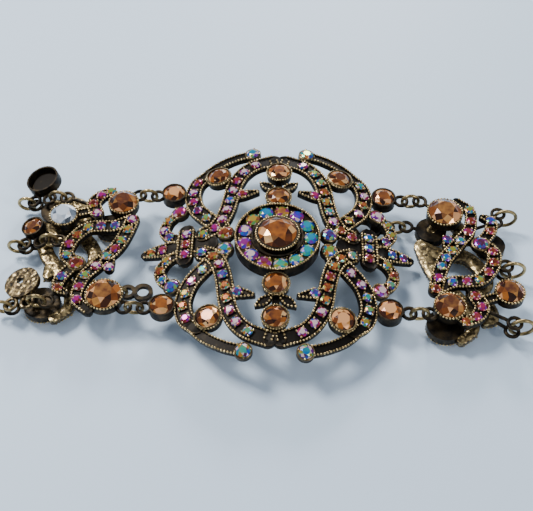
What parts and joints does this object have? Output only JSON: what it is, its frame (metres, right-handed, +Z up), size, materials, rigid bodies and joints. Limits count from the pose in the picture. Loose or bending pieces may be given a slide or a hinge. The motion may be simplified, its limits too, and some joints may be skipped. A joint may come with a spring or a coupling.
{
  "type": "rhinestone link bracelet",
  "caption": "Openwork antiqued-brass link bracelet set with faceted crystals, lying folded with both ends and its clasp tucked under the domed centre plaque.",
  "frame": {"origin": "centre of the bracelet's footprint on the table it lies on", "axes": "+X along the bracelet towards the clasp end, +Y across it, +Z up"},
  "size_m": [0.0998, 0.0508, 0.0119],
  "materials": {
    "brass": "antiqued, worn bright on its edges",
    "dark_brass": "antiqued nearly black in its channels",
    "topaz_crystal": "faceted, foiled",
    "aurora_crystal": "faceted, foiled, iridescent",
    "clear_crystal": "faceted, foiled"
  },
  "bodies": {
    "plaque": {"plaque_casting": "dark_brass", "plaque_link_cups": "brass", "medallion": "brass", "centre_stone": "topaz_crystal", "medallion_stones": "aurora_crystal", "plaque_topaz_stones": "topaz_crystal", "plaque_accent_stones": "aurora_crystal", "plaque_pave_stones": "aurora_crystal"},
    "left_inner_rings": {"left_inner_rings": "brass"},
    "left_panel": {"left_panel_casting": "dark_brass", "left_panel_settings": "brass", "left_panel_topaz": "topaz_crystal", "left_panel_clear_stone": "clear_crystal", "left_panel_pave": "aurora_crystal"},
    "left_middle_rings": {"left_middle_rings": "brass"},
    "left_links": {"left_top_link": "brass", "left_middle_link": "brass", "left_low_link": "brass", "left_top_link_stone": "topaz_crystal", "left_middle_link_stone": "topaz_crystal"},
    "left_outer_rings": {"left_outer_rings": "brass"},
    "lower_left_panel": {"lower_left_casting": "dark_brass", "lower_left_settings": "brass", "lower_left_topaz": "topaz_crystal", "lower_left_pave": "aurora_crystal"},
    "tail_ring": {"tail_ring": "brass"},
    "tail_tag": {"tail_tag": "brass"},
    "right_inner_rings": {"right_inner_rings": "brass"},
    "right_panel": {"right_panel_casting": "dark_brass", "right_panel_settings": "brass", "right_panel_topaz": "topaz_crystal", "right_panel_pave": "aurora_crystal"},
    "right_outer_rings": {"right_outer_rings": "brass"},
    "lower_right_panel": {"lower_right_casting": "dark_brass", "lower_right_settings": "brass", "lower_right_topaz": "topaz_crystal", "lower_right_pave": "aurora_crystal"},
    "clasp_ring": {"clasp_ring": "brass"},
    "clasp": {"clasp_body": "brass", "clasp_pin": "brass"},
    "clasp_lever": {"clasp_lever": "brass"}
  },
  "joints": [
    {"name": "left_ring_tilt", "type": "hinge", "parent": "plaque", "child": "left_inner_rings", "pos_m": [-0.02328, 0, 0.00505], "axis": [0, 1, 0], "range_deg": [0, 20]},
    {"name": "left_panel_lift", "type": "hinge", "parent": "left_inner_rings", "child": "left_panel", "pos_m": [-0.02328, 0, 0.00505], "axis": [0, 1, 0], "range_deg": [0, 20]},
    {"name": "middle_ring_tilt", "type": "hinge", "parent": "left_panel", "child": "left_middle_rings", "pos_m": [-0.04138, 0, 0.00505], "axis": [0, 1, 0], "range_deg": [0, 4]},
    {"name": "left_link_tilt", "type": "hinge", "parent": "left_middle_rings", "child": "left_links", "pos_m": [-0.04138, 0, 0.00505], "axis": [0, 1, 0], "range_deg": [0, 4]},
    {"name": "outer_left_ring_turn", "type": "hinge", "parent": "left_links", "child": "left_outer_rings", "pos_m": [-0.04797, 0, 0.0029], "axis": [0, 1, 0], "range_deg": [0, 75]},
    {"name": "lower_left_unfold", "type": "hinge", "parent": "left_outer_rings", "child": "lower_left_panel", "pos_m": [-0.04797, 0, 0.0029], "axis": [0, 1, 0], "range_deg": [0, 75]},
    {"name": "tail_ring_tilt", "type": "hinge", "parent": "lower_left_panel", "child": "tail_ring", "pos_m": [-0.02712, -0.0085, 0.0024], "axis": [0, 1, 0], "range_deg": [0, 30]},
    {"name": "tail_tag_swing", "type": "hinge", "parent": "tail_ring", "child": "tail_tag", "pos_m": [-0.02712, -0.0085, 0.0024], "axis": [0, 1, 0], "range_deg": [0, 30]},
    {"name": "right_ring_tilt", "type": "hinge", "parent": "plaque", "child": "right_inner_rings", "pos_m": [0.02882, 0, 0.00505], "axis": [0, -1, 0], "range_deg": [0, 20]},
    {"name": "right_panel_lift", "type": "hinge", "parent": "right_inner_rings", "child": "right_panel", "pos_m": [0.02882, 0, 0.00505], "axis": [0, -1, 0], "range_deg": [0, 20]},
    {"name": "outer_right_ring_turn", "type": "hinge", "parent": "right_panel", "child": "right_outer_rings", "pos_m": [0.04743, 0, 0.00373], "axis": [0, -1, 0], "range_deg": [0, 75]},
    {"name": "lower_right_unfold", "type": "hinge", "parent": "right_outer_rings", "child": "lower_right_panel", "pos_m": [0.04743, 0, 0.00373], "axis": [0, -1, 0], "range_deg": [0, 75]},
    {"name": "clasp_ring_tilt", "type": "hinge", "parent": "lower_right_panel", "child": "clasp_ring", "pos_m": [0.02618, 0.009, 0.0021], "axis": [0, -1, 0], "range_deg": [0, 30]},
    {"name": "clasp_swing", "type": "hinge", "parent": "clasp_ring", "child": "clasp", "pos_m": [0.02618, 0.009, 0.0021], "axis": [0, -1, 0], "range_deg": [0, 30]},
    {"name": "clasp_lever_open", "type": "hinge", "parent": "clasp", "child": "clasp_lever", "pos_m": [0.02198, 0.0085, 0.00155], "axis": [0, 0, -1], "range_deg": [0, 25], "stiffness_Nm_per_rad": 0.0002, "springref_deg": -5.73}
  ],
  "couplings": [
    {"joint": "left_ring_tilt", "follows": "left_panel_lift", "ratio": 1},
    {"joint": "middle_ring_tilt", "follows": "left_link_tilt", "ratio": 1},
    {"joint": "outer_left_ring_turn", "follows": "lower_left_unfold", "ratio": 1},
    {"joint": "tail_ring_tilt", "follows": "tail_tag_swing", "ratio": 1},
    {"joint": "right_ring_tilt", "follows": "right_panel_lift", "ratio": 1},
    {"joint": "outer_right_ring_turn", "follows": "lower_right_unfold", "ratio": 1},
    {"joint": "clasp_ring_tilt", "follows": "clasp_swing", "ratio": 1}
  ]
}
